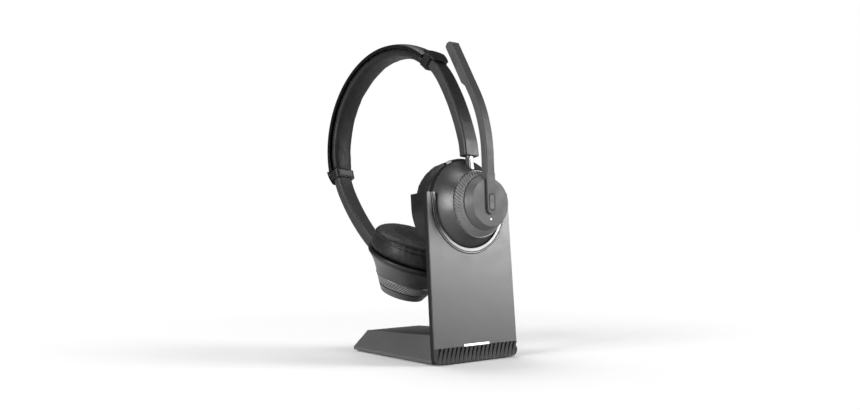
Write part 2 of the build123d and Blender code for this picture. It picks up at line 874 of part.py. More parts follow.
def cradle_solid():
    """Lip in the panel, bowl behind it and a boss for the charging pins below."""
    lip = u_slab(notch_radius - 0.15, notch_centre, -0.2, panel_thickness + 0.1, notch_flare)
    flange = u_slab(bowl_radius, cup_height, panel_thickness + 0.1, upright_thickness + bowl_depth)
    boss = block((-9, 9), (panel_thickness + 0.1, 12), (cup_height - bowl_radius - 6, cup_height - 30))
    boss = fillet(boss.edges().filter_by(Axis.Y).group_by(Axis.Z)[0], 3)
    return lip, flange, boss


def boss_room(gap):
    """Cut in the rear shell for the boss."""
    return block(
        (-9 - gap, 9 + gap), (0, 30), (cup_height - bowl_radius - 6 - gap, cup_height - 30)
    )


pin_y = 6.3
pin_top = cup_height - rim_radius + 0.05
block_top = cup_height - bowl_radius - 3.4


def cradle():
    lip, flange, boss = cradle_solid()
    body = lip + flange + boss - cup_room()
    body -= u_slab(lip_radius + trim_width, notch_centre, -2, 0.7, notch_flare)
    for x in (-pin_spread, pin_spread):
        body -= rod(pin_radius + running_gap, (x, pin_y, block_top), (x, pin_y, cup_height - 30))
    body -= block((-6.05, 6.05), (pin_y - 2.05, 30), (block_top - 2, block_top + 1.6))
    return upright * body


def contact_block():
    """Insulator under the pins that closes the boss from behind."""
    return upright * block((-6, 6), (pin_y - 2, 11.9), (block_top - 1.9, block_top + 0.3))


def charge_pins():
    bottom = block_top + 0.3 + pin_travel + 0.1
    pins = [rod(pin_radius, (x, pin_y, bottom), (x, pin_y, pin_top)) for x in (-pin_spread, pin_spread)]
    return [upright * pin for pin in pins]


def cradle_trim():
    """Bright inner ring of the cradle."""
    ring = u_slab(lip_radius + trim_width - 0.05, notch_centre, -0.5, 0.65, notch_flare)
    return upright * (ring - u_slab(lip_radius, notch_centre, -3, 3, notch_flare) - cup_room())


def upright_screws():
    """Two screws from the foot into the upright."""
    return upright_screw_paths(1.25)


# ---------------------------------------------------------------- build
def solids(shape):
    """All pieces of a node as one compound."""
    if isinstance(shape, (list, tuple)):
        return Compound(children=list(shape))
    return shape


def place(frame, shape):
    if isinstance(shape, (list, tuple)):
        return [frame * piece for piece in shape]
    return frame * shape


def save(name, shape):
    export_step(solids(shape), f"parts/{name}.step")


def build():
    os.makedirs("parts", exist_ok=True)
    stand = {
        "foot_shell": foot_shell,
        "foot_base_plate": base_plate,
        "rubber_mat": rubber_mat,
        "ballast_plate": ballast,
        "rear_shell": rear_shell,
        "front_panel": front_panel,
        "ribbed_skirt": skirt,
        "light_bar": light_bar,
        "cradle": cradle,
        "cradle_trim": cradle_trim,
        "contact_block": contact_block,
        "charge_pins": charge_pins,
        "dock_board": dock_board,
        "dock_usb_socket": dock_socket,
        "foot_screws": foot_screws,
        "upright_screws": upright_screws,
    }
    for name, make in stand.items():
        save(name, make())

    placed = {
        "bell_housing_right": (right_cup, housing),
        "baffle_right": (right_cup, right_baffle),
        "baffle_screws_right": (right_cup, baffle_screws),
        "ear_cushion_right": (right_cup, cushion),
        "speaker_right": (right_cup, driver),
        "tilt_pin_right": (right_cup, hinge_pin),
        "main_board": (right_cup, main_board),
        "charge_contacts": (right_cup, charge_contacts),
        "headset_usb_socket": (right_cup, cup_port),
        "power_switch": (right_cup, power_switch),
        "volume_ring": (right_cup, knurled_ring),
        "hub_cap_right": (boom, right_hub),
        "boom_retainer": (boom, retainer),
        "boom_arm": (boom, boom_arm),
        "boom_mic_grille": (boom, mic_grille),
        "boom_microphones": (boom, boom_microphones),
        "status_led": (boom, status_led),
        "mute_button": (boom, mute_button),
        "stem_right": (right_stem, stem),
        "arm_right": (right_arm, arm),
        "arm_cover_right": (right_arm, cover_shape),
        "headband_shell": (band, headband_shell),
        "headband_spring": (band, headband_spring),
        "headband_cushion": (band, headband_cushion),
        "collar_left": (band, collar),
        "collar_right": (band * half_turn, collar),
        "collar_plate_left": (band, plate_shape),
        "collar_plate_right": (band * half_turn, plate_shape),
        "arm_left": (left_arm, arm),
        "arm_cover_left": (left_arm, cover_shape),
        "stem_left": (left_stem, stem),
        "bell_housing_left": (left_cup, housing),
        "baffle_left": (left_cup, baffle),
        "baffle_screws_left": (left_cup, baffle_screws),
        "ear_cushion_left": (left_cup, cushion),
        "speaker_left": (left_cup, driver),
        "tilt_pin_left": (left_cup, hinge_pin),
        "battery": (left_cup, battery),
        "trim_ring_left": (left_cup, knurled_ring),
        "hub_cap_left": (left_cup, hub_cap),
        "hub_retainer_left": (left_cup, retainer),
    }
    for name, (frame, make) in placed.items():
        save(name, place(frame, make()))


build()
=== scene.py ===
import json
import math

import bmesh
import bpy
from mathutils import Matrix, Vector, noise
from mathutils.bvhtree import BVHTree


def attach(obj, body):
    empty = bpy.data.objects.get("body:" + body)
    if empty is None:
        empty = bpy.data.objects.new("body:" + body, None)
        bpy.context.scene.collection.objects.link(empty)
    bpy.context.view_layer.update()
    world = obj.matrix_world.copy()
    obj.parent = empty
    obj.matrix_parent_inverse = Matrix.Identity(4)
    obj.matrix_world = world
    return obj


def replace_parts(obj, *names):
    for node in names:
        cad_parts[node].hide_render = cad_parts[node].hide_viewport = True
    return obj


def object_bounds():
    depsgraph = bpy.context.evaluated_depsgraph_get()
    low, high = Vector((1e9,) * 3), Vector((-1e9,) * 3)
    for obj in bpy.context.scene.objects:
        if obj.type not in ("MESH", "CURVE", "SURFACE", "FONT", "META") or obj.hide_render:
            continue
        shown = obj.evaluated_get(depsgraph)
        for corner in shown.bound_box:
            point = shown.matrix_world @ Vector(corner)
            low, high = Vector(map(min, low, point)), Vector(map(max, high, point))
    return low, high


# Office headset parked in its charging stand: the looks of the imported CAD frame.
# Pieces are drawn in millimetres in the frame of the part that they belong to, then placed in metres.
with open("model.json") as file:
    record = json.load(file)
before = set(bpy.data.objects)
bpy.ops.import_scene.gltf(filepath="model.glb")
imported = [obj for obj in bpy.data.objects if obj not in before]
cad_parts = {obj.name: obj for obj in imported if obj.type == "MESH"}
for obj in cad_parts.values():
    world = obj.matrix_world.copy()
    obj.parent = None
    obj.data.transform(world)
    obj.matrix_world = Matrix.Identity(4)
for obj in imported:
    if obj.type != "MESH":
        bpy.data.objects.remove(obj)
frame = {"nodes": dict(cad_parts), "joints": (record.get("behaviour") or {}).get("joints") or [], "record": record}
nodes = frame["nodes"]
joints = {joint["name"]: joint for joint in frame["joints"]}
slot_of = {part["node"]: part["material_slot"] for part in frame["record"]["subparts"]}
cad_low, cad_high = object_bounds()
MM = 0.001

# ---------------------------------------------------------------- sizes, in millimetres
ring_front = 6.0               # knurled ring, along the cup's axis from the disc
ring_back = 12.8
ring_radii = (20.9, 24.2)
ring_bore = 15.2
ring_lip = 0.4                 # plain edge before and after the knurls
knurls = 60
knurl_depth = 0.8
knurl_slant = -1.9             # ridges that a knurl crosses from front to back

cushion_radius = 35.2
cushion_room = (35.3, 49.6)    # radius and height that the soft form may fill
cushion_low = 31.3             # the cushion's back face, on the rim
cushion_high = 49.2
seam_height = 43.2             # where the cushion's face meets its side band
hole_pitch = 3.1
hole_radius = 0.62
hole_turn = 30.0               # of the rows of holes, in degrees
hole_field = 21.0              # radius of the perforated area
stitch_count = 96
stitch_lift = 1.5              # above the seam

pad_end = 71.0                 # degrees from the crown to the collars
pad_half = 11.3
pad_top = 73.8
pad_ledge = 72.2               # the pad's sides start here, under the shell's edge
pad_crown = 66.7               # radius of the pad's inner surface
pad_floor = 66.1               # the pad comes no nearer to the middle of the band
pad_edge = 12.0                # half of the width that the pad may fill
spring_half = 6.5              # over this half width the cover stays under the spring inside it
spring_low = 67.3
collar_top = 78.6              # radius of the collars' outer face

disc_ahead = 23.5              # the docked cup's disc stands this far in front of the panel
cup_above_notch = 0.8          # the cup's axis above the middle of the cradle's curve
notch_top = 10.4               # the walls rise this far above that middle
notch_flare = 1.2


# ---------------------------------------------------------------- frames
def centroid(node):
    """Middle of a node's surface."""
    total, area = Vector(), 0.0
    for face in nodes[node].data.polygons:
        total += face.center * face.area
        area += face.area
    return total / area


def axes(origin, x, z):
    """Matrix of a right-handed frame from its origin, rough x and exact z."""
    z = z.normalized()
    x = (x - z * x.dot(z)).normalized()
    matrix = Matrix((x, z.cross(x), z)).transposed().to_4x4()
    matrix.translation = origin
    return matrix


def right_cup_frame():
    origin = Vector(joints["boom_swing"]["pos_m"])
    across = -Vector(joints["tilt_right"]["axis"])
    return axes(origin, across, Vector(joints["boom_swing"]["axis"]))


def left_cup_frame():
    hub = centroid("hub_cap_left")
    along = (centroid("ear_cushion_left") - hub).normalized()
    front = min((v.co - hub).dot(along) for v in nodes["hub_cap_left"].data.vertices)
    return axes(hub + along * front, Vector(joints["tilt_left"]["axis"]), along)


def band_frame():
    origin = Vector(joints["extend_right"]["pos_m"])
    y = -Vector(joints["extend_right"]["axis"])
    z = centroid("headband_shell") - origin
    return axes(origin, y.cross(z), z - y * y.dot(z))


def notch_frame():
    """Middle of the panel's U-shaped cut: x across, y into the panel and z up it."""
    up = Vector(joints["headset_lift"]["axis"])
    inwards = Vector(joints["boom_swing"]["axis"])
    origin = Vector(joints["boom_swing"]["pos_m"]) + (inwards * disc_ahead - up * cup_above_notch) * MM
    return axes(origin, Vector((1, 0, 0)), up)


right_cup = right_cup_frame()
notch = notch_frame()
left_cup = left_cup_frame()
band = band_frame()


# ---------------------------------------------------------------- materials
def material(name):
    made = bpy.data.materials.new(name)
    made.use_nodes = True
    tree = made.node_tree
    shader = tree.nodes["Principled BSDF"]
    return made, tree, shader


def add(tree, kind, **values):
    """Add a node and set its sockets by name."""
    node = tree.nodes.new(kind)
    for key, value in values.items():
        node.inputs[key.replace("_", " ")].default_value = value
    return node


def noise_node(tree, scale, detail=3.0):
    place = tree.nodes.new("ShaderNodeTexCoord")
    made = add(tree, "ShaderNodeTexNoise", Scale=scale, Detail=detail)
    tree.links.new(place.outputs["Object"], made.inputs["Vector"])
    return made.outputs["Fac"]


def spread(tree, source, low, high, start=0.3, end=0.7):
    """Map a texture's middle range to low..high."""
    made = add(
        tree, "ShaderNodeMapRange", From_Min=start, From_Max=end, To_Min=low, To_Max=high
    )
    tree.links.new(source, made.inputs["Value"])
    return made.outputs["Result"]


def edge_mask(tree, radius):
    """1 along sharp edges and 0 on flat ground."""
    rounded = add(tree, "ShaderNodeBevel", Radius=radius)
    rounded.samples = 4
    plain = tree.nodes.new("ShaderNodeNewGeometry")
    dot = tree.nodes.new("ShaderNodeVectorMath")
    dot.operation = "DOT_PRODUCT"
    tree.links.new(rounded.outputs["Normal"], dot.inputs[0])
    tree.links.new(plain.outputs["Normal"], dot.inputs[1])
    return spread(tree, dot.outputs["Value"], 1.0, 0.0, 0.8, 0.99), rounded.outputs["Normal"]


def mix_colour(tree, factor, a, b):
    made = tree.nodes.new("ShaderNodeMix")
    made.data_type = "RGBA"
    tree.links.new(factor, made.inputs["Factor"])
    for socket, value in (("A", a), ("B", b)):
        target = [s for s in made.inputs if s.name == socket and s.type == "RGBA"][0]
        if isinstance(value, tuple):
            target.default_value = value
        else:
            tree.links.new(value, target)
    return [s for s in made.outputs if s.type == "RGBA"][0]


def tone(colour, factor):
    return tuple(min(1.0, c * factor) for c in colour) + (1.0,)


def hard(
    name, colour, roughness, metallic=0.0, grain=0.35, relief=0.03, wear=0.5, edge=0.25, shine=0.3, cloud=0.06
):
    """Moulded plastic or metal: fine grain, cloudy colour, uneven gloss and lighter rounded edges."""
    made, tree, shader = material(name)
    fine = noise_node(tree, 1.0 / (grain * MM), 2.0)
    clouds = noise_node(tree, 45.0)
    smudge = noise_node(tree, 130.0, 4.0)
    edges, rounded = edge_mask(tree, edge * MM)
    dim, light = tone(colour, 1.0 - cloud), tone(colour, 1.0 + cloud)
    body = mix_colour(tree, spread(tree, clouds, 0.0, 1.0), dim, light)
    speck = mix_colour(tree, spread(tree, fine, 0.0, 0.3, 0.55, 0.75), body, tone(colour, 1.35))
    worn = tree.nodes.new("ShaderNodeMath")
    worn.operation = "MULTIPLY"
    tree.links.new(edges, worn.inputs[0])
    worn.inputs[1].default_value = wear
    top = mix_colour(tree, worn.outputs[0], speck, tone([c + 0.01 for c in colour], 1.6))
    tree.links.new(top, shader.inputs["Base Color"])
    tree.links.new(
        spread(tree, smudge, roughness * 0.88, min(1.0, roughness * 1.14)), shader.inputs["Roughness"]
    )
    bump = add(tree, "ShaderNodeBump", Strength=1.0, Distance=relief * MM)
    tree.links.new(fine, bump.inputs["Height"])
    tree.links.new(rounded, bump.inputs["Normal"])
    tree.links.new(bump.outputs["Normal"], shader.inputs["Normal"])
    shader.inputs["Metallic"].default_value = metallic
    shader.inputs["Specular IOR Level"].default_value = shine
    return made


def brushed(name, colour, roughness, stretch=(1.0, 1.0, 14.0)):
    """Drawn metal: fine lines along one direction."""
    made, tree, shader = material(name)
    place = tree.nodes.new("ShaderNodeTexCoord")
    mapping = tree.nodes.new("ShaderNodeMapping")
    mapping.inputs["Scale"].default_value = [2600.0 / s for s in stretch]
    lines = add(tree, "ShaderNodeTexNoise", Scale=1.0, Detail=2.0)
    tree.links.new(place.outputs["Object"], mapping.inputs["Vector"])
    tree.links.new(mapping.outputs["Vector"], lines.inputs["Vector"])
    edges, rounded = edge_mask(tree, 0.2 * MM)
    body = mix_colour(tree, lines.outputs["Fac"], tone(colour, 0.94), tone(colour, 1.06))
    top = mix_colour(tree, edges, body, tone(colour, 1.2))
    tree.links.new(top, shader.inputs["Base Color"])
    tree.links.new(
        spread(tree, lines.outputs["Fac"], roughness * 0.9, roughness * 1.15), shader.inputs["Roughness"]
    )
    bump = add(tree, "ShaderNodeBump", Strength=1.0, Distance=0.002 * MM)
    tree.links.new(lines.outputs["Fac"], bump.inputs["Height"])
    tree.links.new(rounded, bump.inputs["Normal"])
    tree.links.new(bump.outputs["Normal"], shader.inputs["Normal"])
    shader.inputs["Metallic"].default_value = 1.0
    return made


def leather(name, colour, roughness, cell=0.75, relief=0.07):
    """Leatherette: rounded grain cells with creases darkened by painted shade, and a soft sheen."""
    made, tree, shader = material(name)
    place = tree.nodes.new("ShaderNodeTexCoord")
    cells = add(tree, "ShaderNodeTexVoronoi", Scale=1.0 / (cell * MM))
    cells.feature = "SMOOTH_F1"
    bend = noise_node(tree, 1.0 / (2.4 * cell * MM), 2.0)
    cloud = noise_node(tree, 55.0)
    tree.links.new(place.outputs["Object"], cells.inputs["Vector"])
    height = tree.nodes.new("ShaderNodeMath")
    height.operation = "MULTIPLY_ADD"
    tree.links.new(bend, height.inputs[0])
    height.inputs[1].default_value = 0.6
    tree.links.new(spread(tree, cells.outputs["Distance"], 1.0, 0.0, 0.1, 0.8), height.inputs[2])
    body = mix_colour(tree, spread(tree, cloud, 0.0, 1.0), tone(colour, 0.85), tone(colour, 1.18))
    # Painted shade: the colour darkens in the grain's creases, where the bump is lowest.
    top = mix_colour(
        tree, spread(tree, cells.outputs["Distance"], 0.0, 0.6, 0.35, 0.8), body, tone(colour, 0.45)
    )
    tree.links.new(top, shader.inputs["Base Color"])
    tree.links.new(spread(tree, bend, roughness * 0.85, roughness * 1.15), shader.inputs["Roughness"])
    bump = add(tree, "ShaderNodeBump", Strength=1.0, Distance=relief * MM)
    tree.links.new(height.outputs[0], bump.inputs["Height"])
    tree.links.new(bump.outputs["Normal"], shader.inputs["Normal"])
    shader.inputs["Specular IOR Level"].default_value = 0.22
    shader.inputs["Sheen Weight"].default_value = 0.03
    shader.inputs["Sheen Roughness"].default_value = 0.5
    return made


def glowing(name, colour, strength):
    """Light guide: a slightly uneven glow behind frosted plastic."""
    made, tree, shader = material(name)
    cloud = noise_node(tree, 300.0)
    body = mix_colour(tree, cloud, tone(colour, 0.94), tone(colour, 1.0))
    tree.links.new(body, shader.inputs["Base Color"])
    tree.links.new(body, shader.inputs["Emission Color"])
    tree.links.new(spread(tree, cloud, 0.25, 0.4), shader.inputs["Roughness"])
    shader.inputs["Emission Strength"].default_value = strength
    return made


def grey(value):
    return (value, value, value)


finishes = {
    "foot_plastic": hard("foot_plastic", grey(0.07), 0.42, relief=0.02, wear=0.3),
    "mat_rubber": hard("mat_rubber", grey(0.02), 0.85, grain=0.6, relief=0.08, wear=0.2),
    "ballast_steel": brushed("ballast_steel", grey(0.3), 0.45),
    "rear_plastic": hard("rear_plastic", grey(0.006), 0.5, wear=0.05, shine=0.2),
    "panel_aluminium": hard(
        "panel_aluminium", grey(0.105), 0.36, 0.9, grain=0.22, relief=0.01, wear=0.3, edge=0.15, cloud=0.02
    ),
    "skirt_plastic": hard("skirt_plastic", grey(0.026), 0.45, wear=0.25),
    "light_lens": glowing("light_lens", grey(1.0), 1.6),
    "cradle_plastic": hard("cradle_plastic", grey(0.006), 0.35, wear=0.1, shine=0.25),
    "trim_satin": hard("trim_satin", grey(0.2), 0.35, metallic=0.9, grain=0.2, relief=0.008, edge=0.3),
    "contact_gilt": brushed("contact_gilt", (0.9, 0.65, 0.25), 0.25),
    "board": hard("board", (0.02, 0.12, 0.05), 0.4, grain=0.8),
    "socket_steel": brushed("socket_steel", grey(0.55), 0.3),
    "screw_steel": brushed("screw_steel", grey(0.45), 0.35),
    "bell_plastic": hard("bell_plastic", grey(0.034), 0.38, relief=0.015, wear=0.25, shine=0.6),
    "rim_plastic": hard("rim_plastic", grey(0.01), 0.42, wear=0.2),
    "speaker_black": hard("speaker_black", grey(0.03), 0.7, grain=0.5, relief=0.05),
    "switch_plastic": hard("switch_plastic", grey(0.3), 0.35, wear=0.4),
    "ring_plastic": hard("ring_plastic", grey(0.11), 0.38, wear=0.3, edge=0.12, shine=0.5),
    "hub_plastic": hard("hub_plastic", grey(0.066), 0.46, relief=0.015, wear=0.4, shine=0.4),
    "boom_plastic": hard("boom_plastic", grey(0.05), 0.44, relief=0.015, wear=0.3),
    "mic_mesh": brushed("mic_mesh", grey(0.12), 0.5, stretch=(1.0, 1.0, 1.0)),
    "led_lens": glowing("led_lens", grey(1.0), 1.5),
    "button_plastic": hard("button_plastic", grey(0.066), 0.42, wear=0.5, shine=0.4),
    "stem_steel": brushed("stem_steel", grey(0.2), 0.4, stretch=(1.0, 1.0, 30.0)),
    "arm_plastic": hard("arm_plastic", grey(0.032), 0.38, relief=0.01, wear=0.3),
    "cover_plastic": hard("cover_plastic", grey(0.01), 0.4, wear=0.12),
    "band_plastic": hard("band_plastic", grey(0.004), 0.42, relief=0.006, wear=0.08, shine=0.2),
    "spring_steel": brushed("spring_steel", grey(0.5), 0.3),
    "collar_plastic": hard("collar_plastic", grey(0.01), 0.4, wear=0.25),
    "plate_plastic": hard("plate_plastic", grey(0.06), 0.42, wear=0.25),
    "battery_wrap": hard("battery_wrap", (0.3, 0.36, 0.42), 0.35, grain=1.2, relief=0.05),
    "ear_leatherette": leather("ear_leatherette", grey(0.01), 0.44),
    "band_leatherette": leather("band_leatherette", grey(0.008), 0.52, relief=0.05),
}
# Painted shade: near-black for the depth of the perforations and of the knurls' valleys.
painted_shade_black = hard("painted_shade_black", grey(0.003), 0.9, wear=0.0)
thread = hard("thread", grey(0.02), 0.7, grain=0.15, relief=0.05, wear=0.2)


def dress_nodes():
    """Give each CAD node the finish of its material slot."""
    for name, node in nodes.items():
        node.data.materials.clear()
        node.data.materials.append(finishes[slot_of[name]])


# ---------------------------------------------------------------- mesh helpers
def mesh_object(name, points, faces, smooth_angle=35.0):
    """Object from points and faces, with its faces turned outwards."""
    mesh = bpy.data.meshes.new(name)
    mesh.from_pydata([Vector(p) for p in points], [], faces)
    mesh.validate()
    made = bmesh.new()
    made.from_mesh(mesh)
    bmesh.ops.recalc_face_normals(made, faces=made.faces)
    made.to_mesh(mesh)
    made.free()
    return link(name, mesh, smooth_angle)


def link(name, mesh, smooth_angle):
    """Object from a mesh, smooth except across edges sharper than the angle."""
    mesh.polygons.foreach_set("use_smooth", [True] * len(mesh.polygons))
    if smooth_angle < 180:
        mesh.set_sharp_from_angle(angle=math.radians(smooth_angle))
    piece = bpy.data.objects.new(name, mesh)
    bpy.context.scene.collection.objects.link(piece)
    return piece


def settle(piece, place, body, slot, finish=None):
    """Put a piece drawn in millimetres in its part's frame, with its finish and its body."""
    piece.data.transform(place @ Matrix.Scale(MM, 4))
    piece.data.materials.clear()
    piece.data.materials.append(finish or finishes[slot])
    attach(piece, body)
    return piece


def ring_of(points_at, rings, closed_around=True, caps=False):
    """Points and quads of a grid of rings: points_at(i) gives ring i."""
    loops = [points_at(i) for i in range(rings)]
    size = len(loops[0])
    points = [p for loop in loops for p in loop]
    faces = []
    last = size if closed_around else size - 1
    for i in range(rings - 1):
        for k in range(last):
            a, b = i * size + k, i * size + (k + 1) % size
            faces.append((a, b, b + size, a + size))
    if caps:
        faces.append(tuple(range(size))[::-1])
        faces.append(tuple(range((rings - 1) * size, rings * size)))
    return points, faces


def lathe(name, profile, steps=144, swell=None, smooth_angle=35.0):
    """Turn a closed (radius, z) outline about z; swell(angle, index) is added to the radius."""
    count = len(profile)

    def ring(i):
        radius, z = profile[i % count]
        loop = []
        for k in range(steps):
            angle = 2 * math.pi * k / steps
            r = radius + (swell(angle, i % count) if swell else 0.0)
            loop.append((r * math.cos(angle), r * math.sin(angle), z))
        return loop

    points, faces = ring_of(ring, count)
    wrap = (count - 1) * steps
    for k in range(steps):
        faces.append((wrap + k, wrap + (k + 1) % steps, (k + 1) % steps, k))
    return mesh_object(name, points, faces, smooth_angle)


def evaluated(piece):
    """Mesh of a piece with its modifiers applied."""
    graph = bpy.context.evaluated_depsgraph_get()
    graph.update()
    return bpy.data.meshes.new_from_object(piece.evaluated_get(graph))


def apply_all(piece):
    """Make a piece's modifiers part of its mesh."""
    mesh = evaluated(piece)
    piece.modifiers.clear()
    piece.data = mesh
    mesh.polygons.foreach_set("use_smooth", [True] * len(mesh.polygons))


def remesh(piece, voxel):
    """Even out a mesh into cells of one size."""
    modifier = piece.modifiers.new("remesh", "REMESH")
    modifier.mode = "VOXEL"
    modifier.voxel_size = voxel
    apply_all(piece)


def subdivide(piece, levels):
    modifier = piece.modifiers.new("subdivide", "SUBSURF")
    modifier.levels = levels
    modifier.render_levels = levels
    apply_all(piece)


def puff(piece, voxel, pressure, cap, is_held):
    """Blow a closed cover up like cloth over foam; held points stay and no point passes the cap."""
    piece.data.transform(Matrix.Scale(MM, 4))
    remesh(piece, voxel * MM)
    start = [v.co.copy() for v in piece.data.vertices]
    held = piece.vertex_groups.new(name="held")
    held.add([v.index for v in piece.data.vertices if is_held(v.co / MM)], 1.0, "REPLACE")
    cloth = piece.modifiers.new("cloth", "CLOTH")
    settings = cloth.settings
    settings.quality = 5
    settings.mass = 0.15
    settings.tension_stiffness = 10
    settings.compression_stiffness = 10
    settings.bending_stiffness = 0.6
    settings.use_pressure = True
    settings.uniform_pressure_force = pressure
    settings.vertex_group_mass = "held"
    settings.effector_weights.gravity = 0.0
    cloth.collision_settings.use_collision = False
    for step in range(1, 21):
        bpy.context.scene.frame_set(step)
    blown = evaluated(piece)
    piece.modifiers.clear()
    for vertex, before, after in zip(piece.data.vertices, start, blown.vertices):
        move = after.co - before
        if move.length > cap * MM:
            move = move.normalized() * cap * MM
        vertex.co = before + move
    bpy.context.scene.frame_set(1)
    piece.vertex_groups.clear()
    piece.data.transform(Matrix.Scale(1 / MM, 4))


# ---------------------------------------------------------------- ear cushions
def arc(centre, radii, start, end, steps):
    """Points on an ellipse arc in an (r, z) outline, angles in degrees."""
    turns = [math.radians(start + (end - start) * i / steps) for i in range(steps + 1)]
    return [(centre[0] + radii[0] * math.cos(t), centre[1] + radii[1] * math.sin(t)) for t in turns]


def bell_curve(x, width):
    """1 at the middle, falling to 0 on both sides."""
    return math.exp(-((x / width) ** 2))


def shape_cushion(piece):
    """Pull the seam in, ripple the face and pucker the side band next to the seam."""
    for vertex in piece.data.vertices:
        x, y, z = vertex.co
        radius = math.hypot(x, y)
        angle = math.atan2(y, x)
        if radius < 1e-6:
            continue
        side = max(0.0, min(1.0, (radius - 27.0) / 5.0))
        waves = noise.noise(Vector((math.cos(angle) * 9.0, math.sin(angle) * 9.0, z * 0.12)))
        pucker = waves * 0.35 * side * bell_curve(z - seam_height, 4.0)
        groove = 0.75 * bell_curve(z - seam_height, 0.75) * side
        foot = 0.7 * bell_curve(z - cushion_low, 1.2) * side
        scale = (radius - groove - foot + pucker) / radius
        face = max(0.0, 1.0 - (radius / 29.0) ** 2) if z > 45.0 else 0.0
        ripple = noise.noise(Vector((x * 0.09, y * 0.09, 3.0))) * 0.3
        vertex.co = Vector((x * scale, y * scale, z + face * ripple))


def ear_cushion(name, place, body, stands_for):
    """Round pillow with a seam, perforations and stitches, blown up over its foam."""
    lower = (cushion_radius - 1.2, cushion_low)
    outline = [(0.01, cushion_low), lower]
    outline += arc((cushion_radius - 2.2, 37.5), (1.7, 6.2), -60, 60, 6)
    outline += arc((cushion_radius - 6.4, 43.6), (5.6, 4.6), 10, 84, 7)
    outline += [(18.0, cushion_high - 0.5), (0.01, cushion_high - 0.3)]
    piece = lathe(name, outline, steps=72)
    puff(piece, 3.0, 4.0, 1.0, lambda p: p.z < cushion_low + 1.5)
    subdivide(piece, 2)
    shape_cushion(piece)
    limit_cushion(piece)
    holes(name + "_holes", piece, place, body)
    stitches(name + "_stitches", piece, place, body)
    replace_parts(settle(piece, place, body, "ear_leatherette"), stands_for)


def limit_cushion(piece):
    """Keep the soft form inside the room that its solid holds."""
    widest, highest = cushion_room
    for vertex in piece.data.vertices:
        radius = math.hypot(vertex.co.x, vertex.co.y)
        if radius > widest:
            vertex.co.x *= widest / radius
            vertex.co.y *= widest / radius
        vertex.co.z = max(cushion_low, min(highest, vertex.co.z))


def surface_under(tree, x, y):
    """Point and normal of a cushion's face below (x, y)."""
    point, normal, _, _ = tree.ray_cast(Vector((x, y, 80.0)), Vector((0, 0, -1)))
    return point, normal


def tree_of(piece):
    """Search tree for rays against a piece."""
    graph = bpy.context.evaluated_depsgraph_get()
    graph.update()
    return BVHTree.FromObject(piece, graph)


def patch(point, normal, radii_and_lifts, sides=10):
    """Rings about a normal, for an eyelet."""
    turn = normal.to_track_quat("Z", "Y")
    loops = []
    for radius, lift in radii_and_lifts:
        loop = []
        for k in range(sides):
            angle = 2 * math.pi * k / sides
            loop.append(point + turn @ Vector((radius * math.cos(angle), radius * math.sin(angle), lift)))
        loops.append(loop)
    return loops


def holes(name, cushion, place, body):
    """Perforations in the face: each is a dark eye in a pressed rim, all in near-black painted shade that stands
    for the hole's depth.
    """
    tree = tree_of(cushion)
    points, faces = [], []
    row_pitch = hole_pitch * math.sin(math.radians(60))
    rows = int(hole_field / row_pitch) + 1
    turn = Matrix.Rotation(math.radians(hole_turn), 2)
    for row in range(-rows, rows + 1):
        for column in range(-rows, rows + 1):
            x, y = turn @ Vector(((column + (row % 2) / 2) * hole_pitch, row * row_pitch))
            if math.hypot(x, y) > hole_field:
                continue
            point, normal = surface_under(tree, x, y)
            if point is None:
                continue
            profile = ((hole_radius * 1.35, -0.05), (hole_radius * 1.2, 0.1), (hole_radius, 0.1),
                       (hole_radius * 0.9, 0.03), (hole_radius * 0.3, 0.03))
            loops = patch(point, normal, profile)
            base = len(points)
            size = len(loops[0])
            points += [p for loop in loops for p in loop]
            for i in range(len(loops) - 1):
                for k in range(size):
                    a, b = base + i * size + k, base + i * size + (k + 1) % size
                    faces.append((a, b, b + size, a + size))
            faces.append(tuple(base + (len(loops) - 1) * size + k for k in range(size)))
    piece = mesh_object(name, points, faces, 60.0)
    settle(piece, place, body, "ear_leatherette", painted_shade_black)


def stitches(name, cushion, place, body):
    """Row of thread stitches just above the seam."""
    tree = tree_of(cushion)
    points, faces = [], []
    height = seam_height + stitch_lift
    for index in range(stitch_count):
        middle = 2 * math.pi * index / stitch_count
        reach = 0.018
        ends = []
        for angle in (middle - reach, middle + reach):
            outside = Vector((60 * math.cos(angle), 60 * math.sin(angle), height))
            point, normal, _, _ = tree.ray_cast(outside, Vector((-outside.x, -outside.y, 0)).normalized())
            ends.append((point, normal))
        if ends[0][0] is None or ends[1][0] is None:
            continue
        capsule_between(points, faces, ends[0][0], ends[1][0], ends[0][1], 0.2)
    piece = mesh_object(name, points, faces, 180.0)
    settle(piece, place, body, "ear_leatherette", thread)


def capsule_between(points, faces, start, end, normal, radius):
    """Short bowed thread from start to end, half sunk in the surface."""
    along = end - start
    side = along.normalized().cross(normal)
    shares = (0.0, 0.2, 0.5, 0.8, 1.0)
    widths = (0.3, 0.9, 1.0, 0.9, 0.3)
    base = len(points)
    sides = 6
    for share, width in zip(shares, widths):
        centre = start + along * share + normal * radius * 0.5 * math.sin(math.pi * share)
        for k in range(sides):
            angle = 2 * math.pi * k / sides
            offset = side * math.cos(angle) + normal * math.sin(angle)
            points.append(centre + offset * radius * width)
    for i in range(len(shares) - 1):
        for k in range(sides):
            a, b = base + i * sides + k, base + i * sides + (k + 1) % sides
            faces.append((a, b, b + sides, a + sides))
    faces.append(tuple(base + k for k in range(sides))[::-1])
    faces.append(tuple(base + (len(shares) - 1) * sides + k for k in range(sides)))


# ---------------------------------------------------------------- knurled rings
slope_start = ring_front + ring_lip
slope_length = ring_back - ring_front - 2 * ring_lip


def knurl_wave(angle, share):
    """1 on a ridge and -1 in a valley; share runs from the slope's front to its back."""
    return math.cos(angle * knurls + share * knurl_slant * 2 * math.pi)


